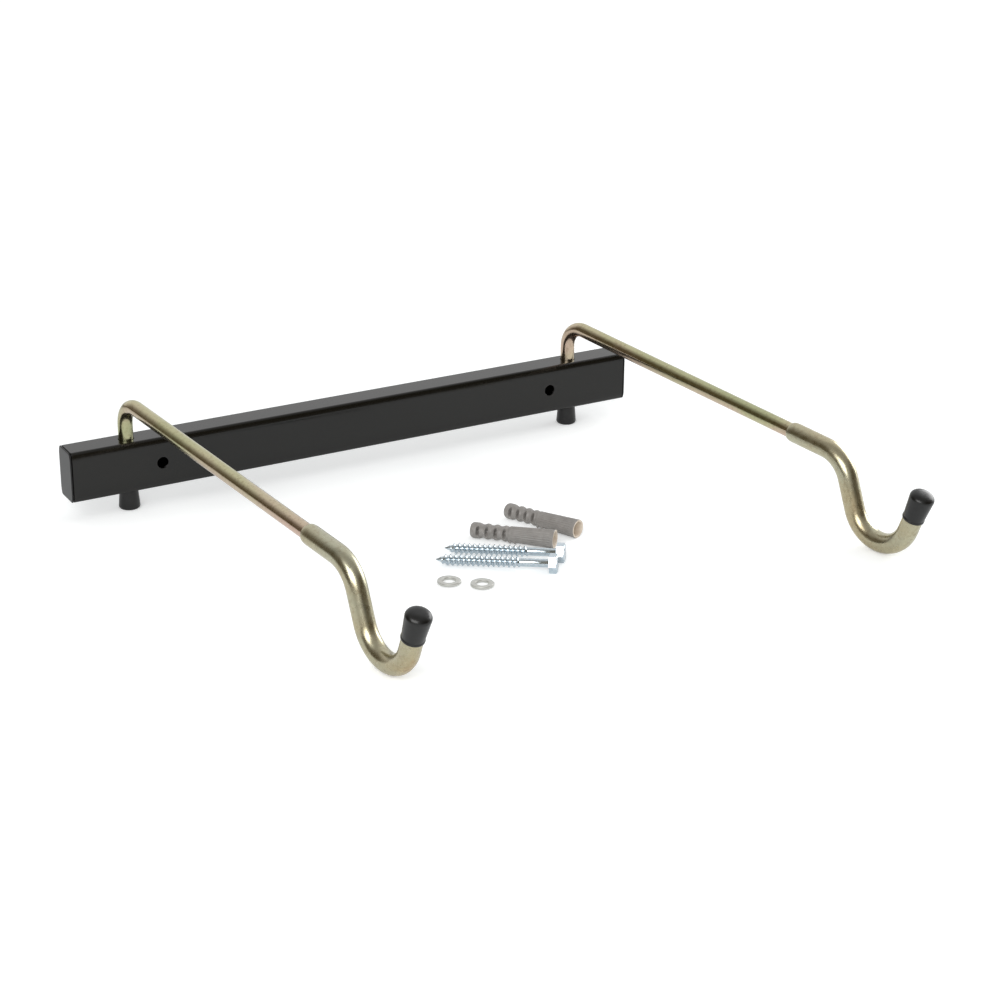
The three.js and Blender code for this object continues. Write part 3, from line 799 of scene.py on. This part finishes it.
def lying(x, y, lift, turn, tilt=0):
    """Lays +Z down along a direction on the floor, rising by a tilt"""
    place = Matrix.Translation((x, y, FLOOR + lift)) @ Matrix.Rotation(turn, 4, "Z")
    return place @ Matrix.Rotation(math.pi / 2 - tilt, 4, "Y")


def washer(name, steel):
    """One turn of square wire that climbs a little, with slanted cut ends"""
    x, y, turn = WASHER_PLACES[name]
    middle = (WASHER_OUTER + WASHER_INNER) / 4
    width = (WASHER_OUTER - WASHER_INNER) / 2
    section = rounded_rectangle(width, WASHER_THICKNESS, WASHER_EDGE, WASHER_EDGE_STEPS)
    rings = []
    for i in range(WASHER_STEPS + 1):
        angle = WASHER_SLIT / 2 + (math.tau - WASHER_SLIT) * i / WASHER_STEPS
        lift = WASHER_THICKNESS / 2 + WASHER_LIFT * angle / math.tau
        row = []
        for point in section:
            slanted = angle + point.y * math.tan(WASHER_CUT) / middle
            radius = middle + point.x
            row.append((radius * math.cos(slanted), radius * math.sin(slanted), lift + point.y))
        rings.append(row)
    place = Matrix.Translation((x, y, FLOOR)) @ Matrix.Rotation(turn, 4, "Z")
    return finish_piece(
        f"washer_{name}_plated", mesh_of(rings), place, [steel], "wall_bar", f"washer_{name}",
    )


def plug_radius(z, angle):
    """Outside of the plug: ribbed sleeve, then rings with a window in the side of each"""
    ring = PLUG_RING_DIAMETER / 2
    neck = PLUG_NECK_DIAMETER / 2
    first_ring = PLUG_SLEEVE + PLUG_RING_PITCH / 2
    last_ring = first_ring + (PLUG_RINGS - 1) * PLUG_RING_PITCH
    if z < PLUG_SLEEVE:
        fade = [PLUG_SLEEVE - away for away in PLUG_RIB_END]
        ribbed = smooth(z, *PLUG_RIB_START) * (1 - smooth(z, *fade))
        radius = PLUG_SLEEVE_DIAMETER / 2 + PLUG_RIB_HEIGHT * ribbed * (math.cos(PLUG_RIBS * angle) - 1)
        radius += (PLUG_MOUTH_DIAMETER - PLUG_SLEEVE_DIAMETER) / 2 * (1 - z / PLUG_SLEEVE)
        radius -= PLUG_MOUTH_EDGE * max(0, 1 - z / PLUG_MOUTH_EDGE)
    elif z < last_ring:
        wave = math.cos(math.tau * (z - first_ring) / PLUG_RING_PITCH)
        radius = (ring + neck) / 2 + (ring - neck) / 2 * wave
        left = 1 - smooth(z, PLUG_SLEEVE, PLUG_SLEEVE + PLUG_NECK_BLEND)
        radius += (PLUG_SLEEVE_DIAMETER / 2 - neck) * left
    else:
        nose = max(0, z - (PLUG_LENGTH - PLUG_NOSE)) / PLUG_NOSE
        tip = PLUG_NOSE_DIAMETER / 2
        radius = tip + (ring - tip) * math.sqrt(1 - min(nose, 1) ** 2)
    side = abs(math.remainder(angle - math.pi / 2 - PLUG_SPIN, math.pi))
    for number in range(PLUG_RINGS):
        away = (z - first_ring - number * PLUG_RING_PITCH) / (PLUG_WINDOW / 2)
        edge = math.hypot(away, side / PLUG_WINDOW_TURN)
        radius -= (radius - PLUG_WINDOW_FLOOR) * (1 - smooth(edge, PLUG_WINDOW_RIM, 1))
    fin = min(abs(math.remainder(angle - turn, math.tau)) for turn in (FIN_TURN, -FIN_TURN))
    tooth = (z - FIN_START) / FIN_LENGTH
    if fin < FIN_WIDTH and 0 < tooth < FIN_COUNT:
        radius += FIN_HEIGHT * (1 - fin / FIN_WIDTH) * (1 - tooth % 1)
    return radius


def wall_plug(name, outside, inside):
    x, y, turn = PLUG_PLACES[name]
    rows = round(PLUG_LENGTH / PLUG_ROW)
    heights = [PLUG_LENGTH * i / rows for i in range(rows + 1)]
    heights = [0, PLUG_MOUTH_EDGE / 2, *heights[1:]]
    rings = shaped(heights, plug_radius, PLUG_SIDES)
    bore = [
        (PLUG_PILOT / 2, PLUG_LENGTH),
        (PLUG_PILOT / 2, PLUG_BORE_DEPTH + (PLUG_BORE - PLUG_PILOT) / 2),
        (PLUG_BORE / 2, PLUG_BORE_DEPTH),
        (PLUG_MOUTH_BORE / 2, PLUG_MOUTH_EDGE),
        (PLUG_MOUTH_BORE / 2 + PLUG_MOUTH_EDGE, 0),
    ]
    outer_bands = len(rings)
    rings += turned(bore, PLUG_SIDES)
    inner = range(outer_bands, len(rings))
    rise = (PLUG_MOUTH_DIAMETER - PLUG_RING_DIAMETER) / 2
    tilt = -math.atan(rise / (PLUG_LENGTH - PLUG_NOSE))
    place = lying(x, y, PLUG_MOUTH_DIAMETER / 2 * math.cos(tilt), turn, tilt)
    return finish_piece(
        f"wall_plug_{name}_moulded", mesh_of(rings, looped=True, inner=inner), place,
        [outside, inside], "wall_bar", f"wall_plug_{name}", crease=PLUG_CREASE,
    )


# Studio

WHITE = (1, 1, 1, 1)
FLOOR_SIZE = 12
SKY_LIGHT = 0.6          # what the world gives to matt surfaces
ROOM_TONES = ("#645a46", "#ffffff")  # what shiny surfaces see: a dim warm room, a pale backdrop
CEILING_SHARE = 0.45     # how pale the ceiling is, from the one to the other
BACKDROP_SIDE = Vector((0.55, 0.79, 0.26))  # where the backdrop stands: behind, to the right
BACKDROP_EDGE = (0.1, 0.75)  # cosines of the angles from there, between which it fades
CEILING_EDGE = (0.45, 0.9)
WALL_SHARE = 0.5         # how pale the wall behind the camera is
WALL_SIDE = Vector((-0.46, -0.71, 0.53))
WALL_EDGE = (0.7, 0.97)
FLOOR_GLOW = (0.3, 0.5)  # lifts the floor to white for the camera
GLOW_REACH = (0.5, 1.4)  # metres from the object, between which the glow grows
SHINE_GLOW = 0.12        # the same for shiny surfaces
DIM_REFLECTION_SIDE = Vector((-0.9, 0.43, 0))  # behind, to the left: there shiny surfaces see the floor painted as the dim room, a painted dark reflection; the camera still sees white table
DIM_REFLECTION_EDGE = (0.35, 1)    # metres that way, between which the painted dark reflection fades in
LIT_PLACE = Vector((0, -0.3, 0))  # where the softboxes point


def camera():
    sine, cosine = math.sin(CAMERA_YAW), math.cos(CAMERA_YAW)
    fall, level = math.sin(CAMERA_PITCH), math.cos(CAMERA_PITCH)
    ahead = Vector((sine * level, cosine * level, -fall))
    right = Vector((cosine, -sine, 0))
    up = right.cross(ahead)
    tilted_right = math.cos(CAMERA_ROLL) * right + math.sin(CAMERA_ROLL) * up
    tilted_up = tilted_right.cross(ahead)
    data = bpy.data.cameras.new("camera")
    data.lens = FOCAL_LENGTH
    data.sensor_width = SENSOR_WIDTH
    data.sensor_fit = "HORIZONTAL"
    made = bpy.data.objects.new("camera", data)
    turn = Matrix((tilted_right, tilted_up, -ahead)).transposed().to_4x4()
    made.matrix_world = Matrix.Translation(CAMERA_PLACE * MM) @ turn
    bpy.context.scene.collection.objects.link(made)
    bpy.context.scene.camera = made


def softbox(name, place, width, height, power):
    data = bpy.data.lights.new(name, "AREA")
    data.shape = "RECTANGLE"
    data.size = width
    data.size_y = height
    data.energy = power
    made = bpy.data.objects.new(name, data)
    place = Vector(place)
    turn = (place - LIT_PLACE).to_track_quat("Z", "Y").to_matrix().to_4x4()
    made.matrix_world = Matrix.Translation(place) @ turn
    made.visible_camera = False
    bpy.context.scene.collection.objects.link(made)


def world():
    """White to the camera; shiny surfaces see a pale backdrop, wall and ceiling in a dim room"""
    made = bpy.data.worlds.new("studio")
    bpy.context.scene.world = made
    made.use_nodes = True
    tree = made.node_tree
    tree.nodes.clear()
    direction = tree.nodes.new("ShaderNodeTexCoord").outputs["Generated"]
    rays = tree.nodes.new("ShaderNodeLightPath")
    lit = []
    for side, (first, last), strength in (
        (BACKDROP_SIDE, BACKDROP_EDGE, 1), (WALL_SIDE, WALL_EDGE, WALL_SHARE),
        (Vector((0, 0, 1)), CEILING_EDGE, CEILING_SHARE),
    ):
        facing = node(tree, "ShaderNodeVectorMath", {"operation": "DOT_PRODUCT"}, {0: direction, 1: side})
        lit.append(node(tree, "ShaderNodeMapRange", {"interpolation_type": "SMOOTHSTEP"}, {
            "Value": facing.outputs["Value"], "From Min": first, "From Max": last, "To Max": strength,
        }))
    share = lit[0]
    for other in lit[1:]:
        share = node(tree, "ShaderNodeMath", {"operation": "MAXIMUM"}, {0: share, 1: other})
    dim, pale = (linear(tone) for tone in ROOM_TONES)
    room = node(tree, "ShaderNodeMix", {"data_type": "RGBA"}, {0: share, 6: dim, 7: pale})
    shown = node(tree, "ShaderNodeMix", {"data_type": "RGBA"}, {
        0: rays.outputs["Is Glossy Ray"], 6: (SKY_LIGHT, SKY_LIGHT, SKY_LIGHT, 1), 7: room.outputs[2],
    })
    colour = node(tree, "ShaderNodeMix", {"data_type": "RGBA"}, {
        0: rays.outputs["Is Camera Ray"], 6: shown.outputs[2], 7: WHITE,
    })
    light = node(tree, "ShaderNodeBackground", {}, {"Color": colour.outputs[2]})
    node(tree, "ShaderNodeOutputWorld", {}, {"Surface": light})


def floor():
    """A white table that keeps the soft shadows; to the back left, shiny surfaces see it painted as the dim
    room, a painted dark reflection
    """
    material, tree, place = new_material("white_floor")
    rays = tree.nodes.new("ShaderNodeLightPath")
    away = node(tree, "ShaderNodeVectorMath", {"operation": "LENGTH"}, {0: place}).outputs["Value"]
    glow = node(tree, "ShaderNodeMapRange", {}, {
        "Value": away, "From Min": GLOW_REACH[0], "From Max": GLOW_REACH[1],
        "To Min": FLOOR_GLOW[0], "To Max": FLOOR_GLOW[1],
    })
    shine = node(tree, "ShaderNodeMath", {"operation": "MULTIPLY"}, {
        0: rays.outputs["Is Glossy Ray"], 1: SHINE_GLOW,
    })
    strength = node(tree, "ShaderNodeMix", {"data_type": "FLOAT"}, {
        0: rays.outputs["Is Camera Ray"], 2: shine, 3: glow,
    })
    matt = node(tree, "ShaderNodeBsdfDiffuse", {}, {"Color": linear("#f4f6f6")})
    light = node(tree, "ShaderNodeEmission", {}, {"Color": WHITE, "Strength": strength})
    table = node(tree, "ShaderNodeAddShader", {}, {0: matt, 1: light})
    # painted dark reflection: beyond this line glossy rays see the floor as the dim room
    reach = node(tree, "ShaderNodeVectorMath", {"operation": "DOT_PRODUCT"}, {0: place, 1: DIM_REFLECTION_SIDE})
    painted_dim_share = node(tree, "ShaderNodeMapRange", {"interpolation_type": "SMOOTHSTEP"}, {
        "Value": reach.outputs["Value"], "From Min": DIM_REFLECTION_EDGE[0], "From Max": DIM_REFLECTION_EDGE[1],
    })
    dim = node(tree, "ShaderNodeMath", {"operation": "MULTIPLY"}, {
        0: rays.outputs["Is Glossy Ray"], 1: painted_dim_share,
    })
    room = node(tree, "ShaderNodeEmission", {}, {"Color": linear(ROOM_TONES[0])})
    both = node(tree, "ShaderNodeMixShader", {}, {0: dim, 1: table, 2: room})
    node(tree, "ShaderNodeOutputMaterial", {}, {"Surface": both})
    half = FLOOR_SIZE / 2
    mesh = bpy.data.meshes.new("floor")
    corners = [(-half, -half), (half, -half), (half, half), (-half, half)]
    mesh.from_pydata([(x, y, FLOOR * MM) for x, y in corners], [], [(0, 1, 2, 3)])
    mesh.materials.append(material)
    made = bpy.data.objects.new("floor", mesh)
    bpy.context.scene.collection.objects.link(made)


camera()
world()
floor()
softbox("front_softbox", place=(-1.06, -1.2, 0.92), width=1.3, height=0.9, power=16)
softbox("right_softbox", place=(1.4, -0.04, 0.44), width=1, height=0.8, power=11)

coat = powder_coat()
plastic = moulded_plastic()
vinyl = dipped_vinyl()
ROD_FILM = [
    (0.3, linear("#a9ab86")), (0.4, linear("#b5b28e")), (0.52, linear("#bfb098")),
    (0.66, linear("#c6ab9c")), (0.8, linear("#bda299")),
]
rod_zinc = {
    "left": yellow_zinc(
        "yellow_zinc_on_left_rod", ROD_FILM, patch_mm=40, roughness=(0.15, 0.25), trend=(0.38, 0.8),
        up_down_tint=0.05,
    ),
    "right": yellow_zinc(
        "yellow_zinc_on_right_rod", ROD_FILM, patch_mm=40, roughness=(0.15, 0.25), trend=(0.57, -0.5),
        up_down_tint=0.12,
    ),
}
TUBE_FILM = [
    (0.3, linear("#b2b19c")), (0.45, linear("#b2ad94")), (0.58, linear("#b1a688")), (0.7, linear("#a88f6c")),
]
tube_zinc = yellow_zinc(
    "yellow_zinc_on_bent_tube", TUBE_FILM, patch_mm=26, roughness=(0.23, 0.33), trend=(0.48, 0),
    up_down_tint=0.04,
)
cold_zinc = blue_zinc()
spring_steel = barrelled_zinc()
plug_nylon = nylon("grey_moulded_nylon", "#84807c", "#938f8b")
# the bore's copy of the nylon is painted lighter and warmer: a painted glow of light through the thin walls
bore_nylon_painted_lit = nylon("grey_nylon_lit_through", "#c9b9a6", "#ded2c2")

wall_bar(coat)
for side in ("left", "right"):
    end_cap(side, plastic)
    arm_rod(side, rod_zinc[side])
    hook_tube(side, tube_zinc)
    hook_cap(side, vinyl)
    foot_cap(side, vinyl)
    washer(side, spring_steel)
for name in ("front", "rear"):
    lag_screw(name, cold_zinc)
    wall_plug(name, plug_nylon, bore_nylon_painted_lit)

bpy.context.scene.view_settings.view_transform = "Standard"
